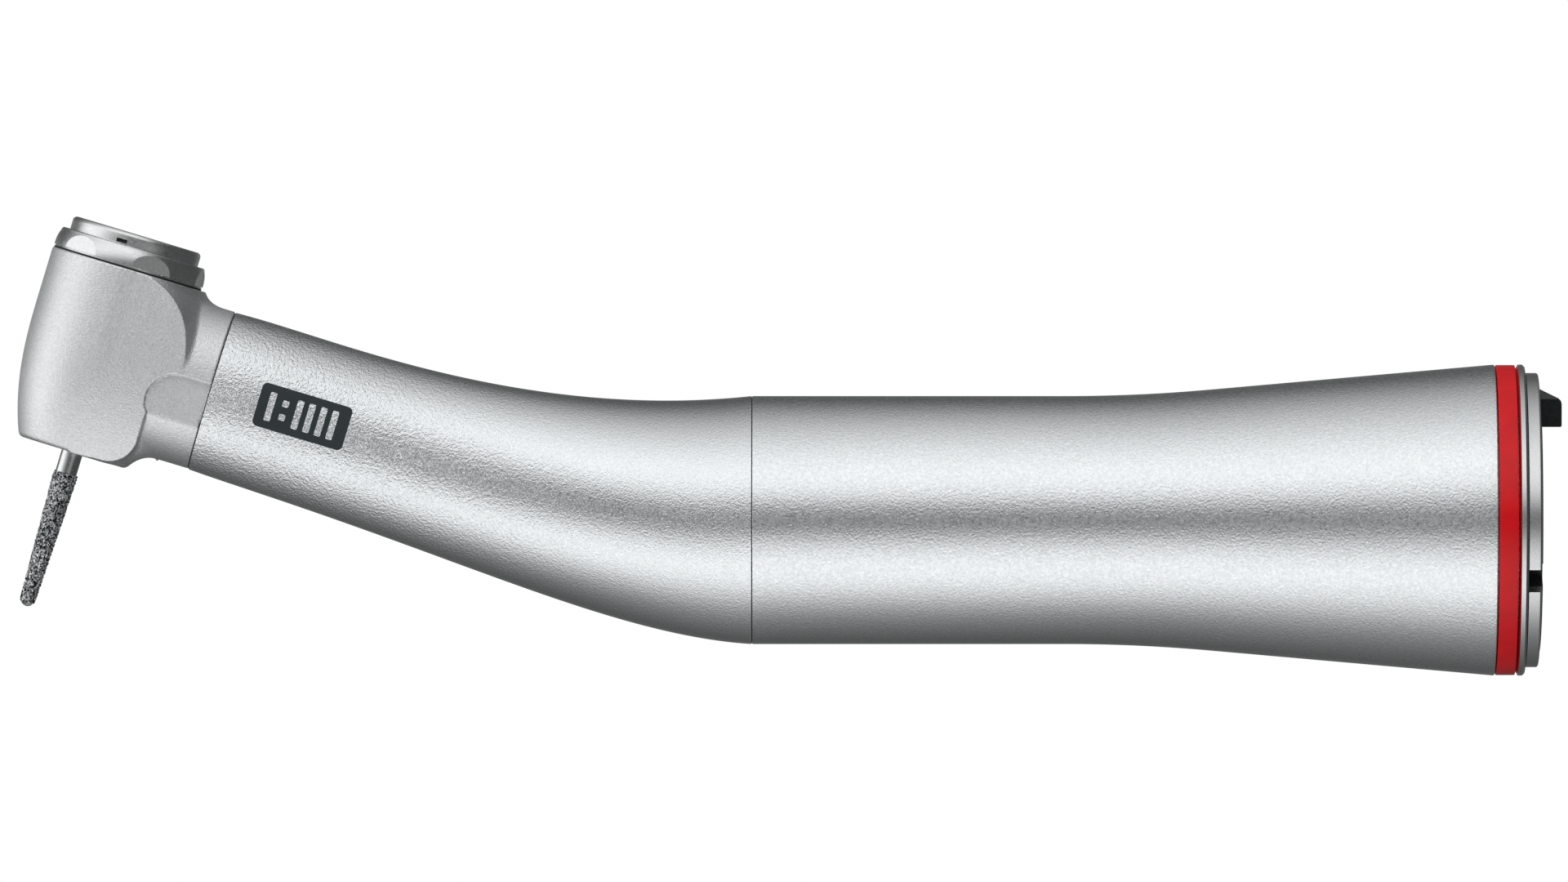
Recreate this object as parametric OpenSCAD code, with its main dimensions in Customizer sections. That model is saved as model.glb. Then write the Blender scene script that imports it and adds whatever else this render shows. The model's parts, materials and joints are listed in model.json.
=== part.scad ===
// Contra-angle dental handpiece with a 1:4 step-up gear train, drawn in millimetres.
// Origin: centre of the rear coupling face. +X points out of the coupling, +Z is up.
// The handle axis is X. The neck axis rises from the bend to the head.

/* [Overall] */
// Angle between the handle axis and the neck axis, degrees
neck_tilt = 16.8; // [16.4:0.1:17.2]
// X of the point where the neck axis meets the handle axis
bend_x = -57.92; // [-58.2:0.02:-57.7]
// Distance along the neck axis from the bend to the head axis
neck_len = 36.29; // [36:0.01:36.8]
// X of the seam between the front and rear sheaths
seam_x = -50.7; // [-51.2:0.1:-50.2]

/* [Sheaths] */
// Radius of the handle at the seam
handle_r = 8.0; // [7.9:0.05:8.1]
// Radius of the rear sheath at its rear edge
sheath_rear_r = 10.02; // [9.98:0.01:10.04]
// X of the rear edge of the rear sheath
sheath_rear_x = -2.8; // [-2.9:0.01:-2.78]
// Wall thickness of the sheaths
sheath_wall = 0.8; // [0.7:0.05:0.85]
// Half height of the neck where it meets the head
neck_half_h = 5.27; // [5.2:0.01:5.35]
// Half width of the neck where it meets the head
neck_half_w = 4.95; // [4.9:0.01:5]

/* [Head] */
// Radius of the head at its top edge
head_r = 5.03; // [4.98:0.01:5.1]
// Radius of the head at its bottom face
head_foot_r = 3.6; // [3.55:0.05:3.65]
// Height of the head housing, up to the seam below the cap
head_h = 12.33; // [12.3:0.01:12.35]
// Height of the neck axis above the bottom face of the head
axis_h = 6.36; // [6.3:0.01:6.4]
// Distance from the head axis to the seam between head and neck
stub_len = 7.45; // [7.3:0.05:7.6]
// Outer radius of the head cap
cap_r = 5.0; // [4.95:0.01:5.02]
// Height of the top edge of the head cap
cap_top = 13.75; // [13.65:0.05:13.8]
// Distance of the wrench flats from the head axis
cap_flat = 4.82; // [4.8:0.01:4.86]
// Height of the top of the push button
button_top = 14.63; // [14.55:0.01:14.7]
// Radius of the push button
button_r = 4.29; // [4.26:0.01:4.3]
// Travel of the push button
button_travel = 0.6; // [0.4:0.05:0.6]

/* [Bur] */
// Radius of the friction-grip shank
shank_r = 0.8; // [0.795:0.005:0.8]
// Length of shank inside the head
shank_len = 10.7; // [10:0.1:10.8]
// Radius of the bare steel neck below the head
bur_neck_r = 0.7; // [0.6:0.05:0.75]
// Length from the head to the diamond coating
bur_neck_len = 1.42; // [1:0.02:2]
// Length from the head to the tip
bur_len = 10.4; // [9:0.1:11]
// Radius of the coating at its upper end
diamond_r = 0.85; // [0.8:0.05:0.9]
// Radius of the coating near the tip
diamond_tip_r = 0.55; // [0.5:0.05:0.6]

/* [Gears] */
// Pressure angle of all the bevel gears, degrees
pressure_angle = 25; // [24:0.5:26]
// Teeth of the internal ring gear on the main shaft
ring_teeth = 24; // [24:24]
// Teeth of the pinion at the rear of the neck shaft
neck_pinion_teeth = 9; // [9:9]
// Cone distance of the bend gears at the heel
bend_cone = 6.4; // [6.3:0.05:6.5]
// Teeth of the crown gear at the front of the neck shaft
crown_teeth = 15; // [15:15]
// Teeth of the pinion on the spindle
spindle_teeth = 10; // [10:10]
// Module of the head gears at the heel
head_module = 0.45; // [0.44:0.005:0.45]
// Face width of the gears
face_w = 0.9; // [0.8:0.05:0.95]
// Play between meshing teeth at the pitch circle
backlash = 0.05; // [0.04:0.005:0.07]

/* [Coupling] */
// Radius of the bore that takes the nose of the motor
bore_r = 6.0; // [5.98:0.01:6.04]
// Depth of that bore
bore_len = 20; // [19.6:0.1:20.1]
// Outer radius of the slotted coupling ring
coupling_r = 9.49; // [9.4:0.01:9.55]
// Width of the slot in the coupling ring
slot_w = 1.57; // [1.4:0.01:1.7]
// Angle of the slot below the horizontal, degrees
slot_angle = 24.3; // [23:0.1:26]

/* [Hidden] */
$fn = 64;
side_steps = 36;
sheath_rings = 26;

// Centre line of the bent sheath: Bezier points in the XZ plane
bend_front_arm = 20.72;
bend_rear_x = -61.94;
bend_radii = [neck_half_h, 5.6, 4.71, 7.35, handle_r];
section_power = 2.2;

// Flare of the rear sheath: arc, then straight
flare_start_x = -30.5;
flare_arc_r = 105;
flare_slope = 0.088;
flare_end_x = flare_start_x + flare_arc_r * flare_slope;

// Head outline
head_curve_h = 9;
head_curve_power = 2.6;
cheek_arc_u = 0.8;
cheek_arc_w = 7.8;
cheek_arc_r = 4.37;
cheek_gap = 0.06;
cheek_heights = [-0.5, 0.15, 1.25, 2.5, 4, 5.7, 8, 13];
patch_y = 4.45;
patch_top = 6.75;

// Spindle, its bearings and chuck
spindle_r = 1.38;
spindle_seat_r = 1.6;
spindle_bottom = 0.1;
spindle_top = 11.4;
chuck_bore_r = 1.08;
chuck_bottom = 3.0;
chuck_top = 11.35;
fit = 0.02;
lower_bearing = [0.35, 2.35];
upper_bearing = [10.15, 12.15];
head_bearing_r = 3.175;
head_bearing_pitch_r = 2.4;
head_ball_r = 0.5;

// Neck shaft and its bearings, along the neck axis with 0 at the bend
neck_shaft_r = 1.0;
neck_bearing_r = 2.5;
neck_bearing_pitch_r = 1.75;
neck_ball_r = 0.4;
neck_front_bearing = [-neck_len + 3.55, -neck_len + 5.55];
neck_rear_bearing = [-9.8, -7.8];
neck_tube_r = 2.95;
neck_tube_ends = [-neck_len + 3.45, -7.6];
pinion_stub_r = 0.5;

// Main shaft and its bearings, along the handle axis
main_shaft_r = 1.5;
main_bearing_r = 4.0;
main_bearing_pitch_r = 2.75;
main_ball_r = 0.75;
main_front_bearing = [-61.3, -58.3];
main_rear_bearing = [-27, -24];
rear_tube_r = 4.6;
rear_tube_ends = [-61.4, -22.6];

// Coupling
flange_front_x = -1.45;
flange_rear_x = -0.88;
ring_front_x = -0.8;
sleeve_rear_x = 0.1;
sleeve_r = 6.95;
sleeve_flange_r = 8.55;
coupling_body_front_x = -24;
o_ring_places = [-5, -3.9];
o_ring_r = 0.3;
o_ring_pitch_r = 8.58;

// Bend gears
ring_angle = bevel_ring_angle(neck_tilt, ring_teeth / neck_pinion_teeth);
pinion_angle = ring_angle - neck_tilt;
bend_module = 2 * bend_cone * sin(ring_angle) / ring_teeth;
pinion_heel = bend_cone * cos(pinion_angle - atan(bend_module / bend_cone));
crown_angle = atan(crown_teeth / spindle_teeth);
spindle_gear_angle = 90 - crown_angle;
head_cone = head_module * crown_teeth / 2 / sin(crown_angle);
addendum = 0.8;
dedendum = 1.0;
cup_rear = 3.9;
cup_floor = 4.35;
cup_front = 5.95;
cup_r = 3.45;

// Runs of the light guide and the tubes, by hand from the head to the coupling
guide_r = 0.55;
pipe_r = 0.5;
pipe_gap = 0.04;
side_run = [[-88.2, 2.55, 6.4], [-80, 2.6, 3.9], [-72, 3, 1.7], [-67, 3.6, 0.8], [-64, 4, 0.9],
            [-61, 4.8, 2.2], [-56, 5.5, 1.8], [-48, 5.6, 0.4], [-36, 5.4, 0], [-20.2, 5.4, 0]];
side_end_r = 5.4;
top_run = [[-85.6, 0, 12.1], [-80, 0, 10.35], [-72, 0, 8.05], [-67, 0, 6.8], [-64, 0, 6.2],
           [-61, 0, 5.95], [-56, 0, 5.8], [-48, 0, 5.6], [-36, 0, 5.4], [-20.2, 0, 5.4]];
run_steps = 2;

// ---- Frames ----

// Local X runs along the neck axis towards the rear, with 0 at the bend
module in_neck() {
    translate([bend_x, 0, 0]) rotate([0, neck_tilt, 0]) children();
}

// Local Z is the head axis, with 0 at the bottom face of the head
module in_head() {
    in_neck() translate([-neck_len, 0, -axis_h]) children();
}

// Turns a part drawn along Z so that it lies along X
module along_x() {
    rotate([0, 90, 0]) children();
}

module on_neck() {
    in_neck() along_x() children();
}

// ---- Shared shapes ----

module ring(outer_r, inner_r, from, to) {
    difference() {
        translate([0, 0, from]) cylinder(r = outer_r, h = to - from);
        translate([0, 0, from - 1]) cylinder(r = inner_r, h = to - from + 2);
    }
}

module disc(outer_r, from, to) {
    translate([0, 0, from]) cylinder(r = outer_r, h = to - from);
}

// Ball groove of a bearing, centred between its two faces
module ball_groove(span, pitch_r, ball_r) {
    translate([0, 0, (span[0] + span[1]) / 2])
        rotate_extrude() translate([pitch_r, 0]) circle(r = ball_r + fit, $fn = 32);
}

module outer_race(span, outer_r, pitch_r, ball_r) {
    difference() {
        ring(outer_r, pitch_r + ball_r * 0.6, span[0], span[1]);
        ball_groove(span, pitch_r, ball_r);
    }
}

module inner_race(span, inner_r, pitch_r, ball_r) {
    difference() {
        ring(pitch_r - ball_r * 0.6, inner_r, span[0], span[1]);
        ball_groove(span, pitch_r, ball_r);
    }
}

module balls(span, pitch_r, ball_r, count) {
    for (i = [0:count - 1])
        rotate([0, 0, i * 360 / count])
            translate([pitch_r, 0, (span[0] + span[1]) / 2]) sphere(r = ball_r, $fn = 24);
}

// ---- Bevel gears, cut on spheres about the common apex at the origin ----

function bevel_ring_angle(tilt, ratio) = tilt + atan(sin(tilt) / (ratio - cos(tilt)));

function involute(theta, base) =
    theta <= base ? 0
    : acos(cos(theta) / cos(base)) / sin(base) - acos(tan(base) / tan(theta));

function on_sphere(r, theta, phi) =
    r * [sin(theta) * cos(phi), sin(theta) * sin(phi), cos(theta)];

flank_steps = 4;

// Outline of one end of a gear: every tooth, then back to the root
function gear_outline(teeth, pitch, root, tip, half, r) =
    let (base = asin(sin(pitch) * cos(pressure_angle)), mid = involute(pitch, base))
    [for (t = [0:teeth - 1], s = [-1, 1], i = [0:flank_steps])
        let (k = s < 0 ? i : flank_steps - i,
             theta = root + (tip - root) * k / flank_steps)
        on_sphere(r, theta, t * 360 / teeth + s * (half + mid - involute(theta, base)))];

// Solid gear with tooth centre at azimuth 0; play is taken off each tooth
module bevel_gear(teeth, pitch, heel, toe, cone, add, ded, play) {
    half = 90 / teeth - play / 4 / (cone * sin(pitch)) * 180 / PI;
    root = pitch - atan(ded / cone);
    tip = pitch + atan(add / cone);
    outer = gear_outline(teeth, pitch, root, tip, half, heel);
    inner = gear_outline(teeth, pitch, root, tip, half, toe);
    n = len(outer);
    points = concat(inner, outer, [[0, 0, toe * cos(root)], [0, 0, heel * cos(root)]]);
    faces = concat(
        [for (i = [0:n - 1]) [n + (i + 1) % n, (i + 1) % n, i]],
        [for (i = [0:n - 1]) [n + i, n + (i + 1) % n, i]],
        [for (i = [0:n - 1]) [2 * n, i, (i + 1) % n]],
        [for (i = [0:n - 1]) [2 * n + 1, n + (i + 1) % n, n + i]]);
    polyhedron(points, faces, convexity = 8);
}

// ---- Bent sheath ----

function bezier(p, t) =
    len(p) == 1 ? p[0]
    : bezier([for (i = [0:len(p) - 2]) p[i] * (1 - t) + p[i + 1] * t], t);

sheath_front = [bend_x - (neck_len - stub_len) * cos(neck_tilt), (neck_len - stub_len) * sin(neck_tilt)];
centre_points = [sheath_front,
                 [bend_x - bend_front_arm * cos(neck_tilt), bend_front_arm * sin(neck_tilt)],
                 [bend_rear_x, 0], [seam_x, 0]];
centre_slopes = [for (i = [0:2]) centre_points[i + 1] - centre_points[i]];

function round_power(c, n) = sign(c) * pow(abs(c), 2 / n);

// Ring of points around the sheath at t, moved inwards by inset
function sheath_ring(t, inset) =
    let (c = bezier(centre_points, t),
         d = bezier(centre_slopes, t),
         a = atan2(-d[1], d[0]),
         h = bezier(bend_radii, t),
         w = h * (neck_half_w / neck_half_h + (1 - neck_half_w / neck_half_h) * t),
         n = section_power + (2 - section_power) * t)
    [for (i = [0:side_steps - 1])
        let (g = i * 360 / side_steps,
             y = (w - inset) * round_power(cos(g), n),
             z = (h - inset) * round_power(sin(g), n))
        [c[0] + z * sin(a), y, c[1] + z * cos(a)]];

// Closed skin through a list of rings, each with the same number of points
module skin(rings) {
    n = len(rings[0]);
    last = len(rings) - 1;
    points = [for (r = rings) each r];
    sides = [for (j = [0:last - 1], i = [0:n - 1])
        let (a = j * n + i, b = j * n + (i + 1) % n)
        each [[a, a + n, b], [b, a + n, b + n]]];
    polyhedron(points, concat(sides, [[for (i = [0:n - 1]) i]], [[for (i = [n - 1:-1:0]) last * n + i]]),
               convexity = 8);
}

// ---- Swept rods ----

function smooth_point(p, i, t) =
    let (a = p[max(i - 1, 0)], b = p[i], c = p[i + 1], d = p[min(i + 2, len(p) - 1)])
    0.5 * (2 * b + (c - a) * t + (2 * a - 5 * b + 4 * c - d) * t * t
           + (3 * b - a - 3 * c + d) * t * t * t);

function smooth_run(p, steps) = concat(
    [for (i = [0:len(p) - 2], k = [0:steps - 1]) smooth_point(p, i, k / steps)],
    [p[len(p) - 1]]);

function unit(v) = v / norm(v);

module rod(p, r, sides) {
    run = smooth_run(p, run_steps);
    last = len(run) - 1;
    rings = [for (i = [0:last])
        let (d = unit(run[min(i + 1, last)] - run[max(i - 1, 0)]),
             s = unit(cross([0, 0, 1], d)),
             u = cross(d, s))
        [for (k = [0:sides - 1]) run[i] + r * (cos(k * 360 / sides) * s + sin(k * 360 / sides) * u)]];
    skin(rings);
}

// ---- Head ----

function head_radius(w) =
    head_r - (head_r - head_foot_r) * pow(max(1 - w / head_curve_h, 0), head_curve_power);

head_heights = [0, 0.6, 1.4, 2.4, 3.6, 5, 6.8, head_h];

module barrel() {
    rotate_extrude()
        polygon(concat([[0, 0]], [for (w = head_heights) [head_radius(w), w]], [[0, head_h]]));
}

function arc(cu, cw, r, from, to, steps) =
    [for (i = [0:steps]) let (g = from + (to - from) * i / steps) [cu + r * cos(g), cw + r * sin(g)]];

// Side outline of the flat cheeks, in the plane of the head and neck axes
module cheek_outline() {
    polygon(concat([[0, 0.02]],
        arc(2.0, 1.96, 1.92, -90, 0, 6),
        [[3.94, 4.2], [4.02, 5.1], [4.4, 6.0], [4.95, 6.9]],
        arc(cheek_arc_u, cheek_arc_w, cheek_arc_r, 2, 78, 10),
        [[0, 12.1]]));
}

module cheeks() {
    right = [for (w = cheek_heights) [head_radius(w) - cheek_gap, w]];
    last = len(right) - 1;
    intersection() {
        rotate([90, 0, 0]) linear_extrude(height = 12, center = true) cheek_outline();
        rotate([90, 0, 90]) linear_extrude(height = 6)
            polygon(concat(right, [for (k = [last:-1:0]) [-right[k][0], right[k][1]]]));
    }
}

// Cross-section of the front end of the sheath, moved inwards by inset
module neck_section(inset) {
    polygon([for (i = [0:side_steps - 1]) let (g = i * 360 / side_steps)
        [(neck_half_w - inset) * round_power(cos(g), section_power),
         (neck_half_h - inset) * round_power(sin(g), section_power)]]);
}

module stub() {
    translate([2, 0, axis_h + 0.04]) rotate([90, 0, 90])
        linear_extrude(height = stub_len - 2) neck_section(0);
}

// Spigot that the front sheath slides over
module stub_spigot() {
    translate([stub_len - 0.5, 0, axis_h]) along_x() cylinder(r = 4.0, h = 2.5);
}

// Milled side patch behind each cheek
module patch_cut() {
    for (side = [-1, 1])
        translate([0, side * (patch_y + 1), 0]) rotate([90, 0, 0])
            linear_extrude(height = 2, center = true)
                polygon([[4.0, 1.5], [3.96, 4.3], [4.08, 5.1], [4.4, 5.9], [4.85, 6.5], [5.2, patch_top],
                         [9, patch_top], [9, 1.5]]);
}

lens_base = [5.3, 0, 2.3];
lens_angle = 24.8;
lens_r = 0.65;
module lens_axis() {
    translate(lens_base) rotate([0, 180 + lens_angle, 0]) children();
}

module head_housing() {
    color("silver") in_head() difference() {
        union() {
            barrel();
            cheeks();
            stub();
            stub_spigot();
        }
        patch_cut();
        translate([0, 0, -1]) cylinder(r = 1.75, h = 3);
        disc(head_bearing_r + fit / 2, lower_bearing[0], 2.6);
        disc(3.3, lower_bearing[1], 10.2);
        disc(4.36, 10.0, head_h + 1);
        translate([0, 0, axis_h]) along_x() disc(3.8, 0, 3.4);
        translate([0, 0, axis_h]) along_x() disc(neck_tube_r + fit / 2, 3.3, 12);
        lens_axis() disc(lens_r + fit / 2, -0.3, 6);
        for (side = [-1, 1])
            translate([5.3, side * 2.56, axis_h - 2.62]) along_x() disc(guide_r + 0.12, 0, 6);
        translate([6.15, 0, axis_h + 3.57]) along_x() disc(pipe_r + 0.1, 0, 6);
    }
}

module nose_seal() {
    color("dimgray") in_head() ring(1.74, 1.45, 0.05, 0.33);
}

module cap_seal() {
    color("black") in_head() ring(4.95, 4.4, head_h, 12.42);
}

module head_cap() {
    flat_count = 6;
    first_flat = -10.5;
    color("silver") in_head() difference() {
        rotate_extrude() polygon([
            [3.2, 10.02], [4.33, 10.02], [4.33, 12.42], [4.83, 12.42], [cap_r, 12.58], [cap_r - 0.02, 12.9],
            [4.9, 13.3], [4.8, 13.6], [4.72, 13.7], [4.6, cap_top], [4.33, cap_top], [4.33, 12.7],
            [1.15, 12.7], [1.15, 12.35], [3.2, 12.35]]);
        for (i = [0:flat_count - 1])
            rotate([0, 0, first_flat + i * 360 / flat_count])
                translate([cap_flat, -3, 12.43]) cube([1, 6, 2]);
    }
}

module preload_washer() {
    color("gray") in_head() ring(3.1, 2.2, upper_bearing[1], 12.35);
}

module spindle_outer_races() {
    color("lightgray") in_head() for (span = [lower_bearing, upper_bearing])
        outer_race(span, head_bearing_r, head_bearing_pitch_r, head_ball_r);
}

// ---- Neck ----

module neck_tube() {
    color("lightgray") on_neck() difference() {
        ring(neck_tube_r, 2.0, neck_tube_ends[0], neck_tube_ends[1]);
        disc(neck_bearing_r, neck_tube_ends[0] - 1, neck_front_bearing[1]);
        disc(neck_bearing_r, neck_rear_bearing[0], neck_tube_ends[1] + 1);
    }
}

module neck_outer_races() {
    color("lightgray") on_neck() for (span = [neck_front_bearing, neck_rear_bearing])
        outer_race(span, neck_bearing_r, neck_bearing_pitch_r, neck_ball_r);
}

module neck_retaining_nut() {
    color("gray") on_neck() ring(2.5, 1.6, neck_rear_bearing[1], neck_tube_ends[1]);
}

module front_sheath() {
    // Short straight ends let the bore run right through both faces
    rings_at = [for (j = [0:sheath_rings]) j / sheath_rings];
    color("lightsteelblue") difference() {
        skin([for (t = rings_at) sheath_ring(t, 0)]);
        skin(concat([[for (q = sheath_ring(0, sheath_wall)) q + [-cos(neck_tilt), 0, sin(neck_tilt)]]],
                    [for (t = rings_at) sheath_ring(t, sheath_wall)],
                    [[for (q = sheath_ring(1, sheath_wall)) q + [1, 0, 0]]]));
    }
}

// Spacer that keeps the light guide and the pipes in place beside the neck tube
module tube_clip() {
    hole_r = guide_r + 0.2;
    color("gray") on_neck() difference() {
        ring(3.9, neck_tube_r, -16, -15);
        for (turn = [-1, 1])
            translate([2.5, turn * 2.93, -17]) cylinder(r = hole_r, h = 3);
        translate([-3.64, 0, -17]) cylinder(r = hole_r, h = 3);
    }
}

module light_guide() {
    color("lightcyan") rod(side_run, guide_r, 12);
}

module light_lens() {
    color("lightcyan") in_head() lens_axis() disc(lens_r, 0.05, 1.1);
}

module water_tube() {
    color("silver") mirror([0, 1, 0]) rod(side_run, pipe_r, 8);
}

module air_tube() {
    color("silver") rod(top_run, pipe_r, 8);
}

// ---- Handle ----

module sheath_joint_ring() {
    color("gray") along_x() ring(6.95, 6.35, seam_x - 2.2, seam_x + 2.6);
}

module rear_tube() {
    color("lightgray") along_x() difference() {
        ring(rear_tube_r, 3.3, rear_tube_ends[0], rear_tube_ends[1]);
        disc(main_bearing_r, rear_tube_ends[0] - 1, main_front_bearing[1]);
        disc(main_bearing_r, main_rear_bearing[0], rear_tube_ends[1] + 1);
    }
}

module main_outer_races() {
    color("lightgray") along_x() for (span = [main_front_bearing, main_rear_bearing])
        outer_race(span, main_bearing_r, main_bearing_pitch_r, main_ball_r);
}

module rear_tube_clip() {
    color("gray") along_x() difference() {
        ring(7.05, rear_tube_r, -40, -39);
        for (side = [-1, 1])
            translate([0, side * 5.55, -41]) cylinder(r = 0.75, h = 3);
        translate([-5.55, 0, -41]) cylinder(r = 0.75, h = 3);
    }
}

module main_retaining_nut() {
    color("gray") along_x() ring(4.0, 2.45, main_rear_bearing[1], -22.8);
}

function flare_r(x) =
    x < flare_start_x ? handle_r
    : x < flare_end_x ? handle_r + flare_arc_r - sqrt(pow(flare_arc_r, 2) - pow(x - flare_start_x, 2))
    : handle_r + flare_arc_r - sqrt(pow(flare_arc_r, 2) - pow(flare_end_x - flare_start_x, 2))
      + (x - flare_end_x) * flare_slope;

module rear_sheath() {
    edge = 0.12;
    flare_points = [for (i = [0:12]) flare_start_x + (flare_end_x - flare_start_x) * i / 12];
    color("lightsteelblue") along_x() rotate_extrude() polygon(concat(
        [[handle_r - sheath_wall, seam_x], [handle_r, seam_x]],
        [for (x = flare_points) [flare_r(x), x]],
        [[flare_r(sheath_rear_x - edge), sheath_rear_x - edge],
         [sheath_rear_r - edge, sheath_rear_x], [8.9, sheath_rear_x], [8.9, -6],
         [handle_r - sheath_wall, flare_start_x]]));
}

module colour_ring() {
    color("crimson") along_x() rotate_extrude() polygon([
        [8.82, -2.74], [9.98, -2.74], [10, -2.7], [10, -1.54], [9.98, -1.5], [8.82, -1.5]]);
}

module coupling_body() {
    color("silver") along_x() difference() {
        rotate_extrude() polygon([
            [rear_tube_r, coupling_body_front_x], [7.3, coupling_body_front_x], [7.3, -8], [8.8, -5.6],
            [8.8, flange_front_x], [9.75, flange_front_x], [10.03, -1.3], [10.03, -1.02],
            [9.9, flange_rear_x], [sleeve_r, flange_rear_x], [sleeve_r, -bore_len],
            [rear_tube_r, -bore_len]]);
        for (side = [-1, 1])
            translate([0, side * side_end_r, coupling_body_front_x - 1])
                cylinder(r = guide_r + pipe_gap, h = 6);
        translate([-side_end_r, 0, coupling_body_front_x - 1])
            cylinder(r = pipe_r + pipe_gap, h = 6);
        for (x = o_ring_places)
            ring(9.5, o_ring_pitch_r - o_ring_r - fit, x - o_ring_r - fit, x + o_ring_r + fit);
    }
}

module sheath_o_rings() {
    color("black") along_x() for (x = o_ring_places)
        translate([0, 0, x]) rotate_extrude() translate([o_ring_pitch_r, 0]) circle(r = o_ring_r, $fn = 24);
}

module coupling_gasket() {
    color("black") along_x() ring(9.3, 8.7, flange_rear_x, ring_front_x);
}

module slot_cut() {
    rotate([slot_angle, 0, 0]) translate([-1.5, -12, -slot_w / 2]) cube([3, 4.7, slot_w]);
}

module coupling_ring() {
    color("silver") difference() {
        along_x() rotate_extrude() polygon(concat([[8.6, 0], [8.6, ring_front_x], [coupling_r, ring_front_x]],
            [for (i = [0:4]) let (g = i * 22.5)
                [coupling_r - 0.15 + 0.15 * cos(g), -0.15 + 0.15 * sin(g)]]));
        slot_cut();
    }
}

module coupling_sleeve() {
    color("black") difference() {
        along_x() rotate_extrude() polygon([
            [bore_r, -bore_len + 0.1], [sleeve_r, -bore_len + 0.1], [sleeve_r, ring_front_x],
            [sleeve_flange_r, ring_front_x], [sleeve_flange_r, 0.05], [sleeve_flange_r - 0.05, sleeve_rear_x],
            [bore_r, sleeve_rear_x]]);
        slot_cut();
    }
}

module locating_lug() {
    half_w = 1.2;
    rear_x = 1.52;
    color("black") intersection() {
        rotate([90, 0, 0]) linear_extrude(height = 2 * half_w, center = true)
            polygon([[sleeve_rear_x, bore_r], [sleeve_rear_x, 8.45], [1.3, 7.86], [1.46, 7.7],
                     [rear_x, 7.5], [rear_x, bore_r + 0.1], [1.46, bore_r]]);
        rotate([90, 0, 90]) linear_extrude(height = 4 * rear_x, center = true)
            polygon([[-half_w, bore_r], [half_w, bore_r], [half_w, 7.8], [0.75, 8.6], [-0.75, 8.6],
                     [-half_w, 7.8]]);
    }
}

// ---- Push button ----

module button_cap() {
    skirt_bottom = 12.7 + button_travel + 0.08;
    color("silver") in_head() difference() {
        rotate_extrude() polygon([
            [0.9, 13.75], [3.85, 13.75], [3.85, skirt_bottom], [button_r, skirt_bottom], [button_r, 14.38],
            [4.22, 14.53], [4.1, button_top], [0, button_top], [0, 14.3], [0.9, 14.3]]);
        translate([-1.08, -button_r - 0.7, 13.84]) cube([0.7, 2.5, 0.25]);
    }
}

module button_plunger() {
    color("lightgray") in_head() rotate_extrude() polygon([
        [0, 11.62], [0.4, 11.62], [0.9, 12.05], [0.9, 14.3], [0, 14.3]]);
}

// Conical coil that pushes the button up: small end at the top
spring_turns = 2;
spring_wire_r = 0.12;
spring_ends_r = [1.7, 3.3];
spring_ends_h = [13.6, 12.84];
module button_spring() {
    steps = spring_turns * 18;
    color("gray") in_head() skin([for (i = [0:steps])
        let (k = i / steps,
             turn = k * 360 * spring_turns,
             r = spring_ends_r[0] + (spring_ends_r[1] - spring_ends_r[0]) * k,
             h = spring_ends_h[0] + (spring_ends_h[1] - spring_ends_h[0]) * k,
             outward = [cos(turn), sin(turn), 0])
        [for (s = [0:5])
            r * outward + [0, 0, h] + spring_wire_r * (cos(s * 60) * outward + [0, 0, sin(s * 60)])]]);
}

// ---- Spindle ----

module spindle_sleeve() {
    color("silver") in_head() difference() {
        union() {
            disc(spindle_r, spindle_bottom, 3);
            disc(spindle_seat_r, lower_bearing[0], lower_bearing[1]);
            disc(spindle_r, 2.3, spindle_top);
            disc(spindle_seat_r, upper_bearing[0], spindle_top);
            translate([0, 0, axis_h]) rotate([0, 0, 180 / spindle_teeth])
                bevel_gear(spindle_teeth, spindle_gear_angle, head_cone, head_cone - face_w, head_cone,
                           addendum * head_module, dedendum * head_module, backlash);
        }
        disc(shank_r + fit, spindle_bottom - 1, chuck_bottom + 0.5);
        disc(chuck_bore_r, chuck_bottom, spindle_top + 1);
    }
}

module chuck_collet() {
    slit_w = 0.25;
    color("gray") in_head() difference() {
        rotate_extrude() polygon([
            [shank_r + fit, chuck_bottom], [chuck_bore_r, chuck_bottom], [chuck_bore_r, chuck_top],
            [1.0, chuck_top], [shank_r + fit, chuck_top - 0.35]]);
        for (g = [0, 60, 120])
            rotate([0, 0, g]) translate([-2, -slit_w / 2, 6]) cube([4, slit_w, 6]);
    }
}

module spindle_inner_races() {
    color("lightgray") in_head() for (span = [lower_bearing, upper_bearing])
        inner_race(span, spindle_seat_r, head_bearing_pitch_r, head_ball_r);
}

module spindle_balls() {
    color("white") in_head() for (span = [lower_bearing, upper_bearing])
        balls(span, head_bearing_pitch_r, head_ball_r, 7);
}

// ---- Bur ----

module bur_core() {
    color("silver") in_head() rotate_extrude() polygon([
        [0, -bur_len + 0.5], [0.3, -bur_len + 0.5], [0.5, -bur_neck_len], [bur_neck_r, -bur_neck_len],
        [bur_neck_r, 0.2], [shank_r, 0.4], [shank_r, shank_len - 0.2], [shank_r - 0.2, shank_len],
        [0, shank_len]]);
}

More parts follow.
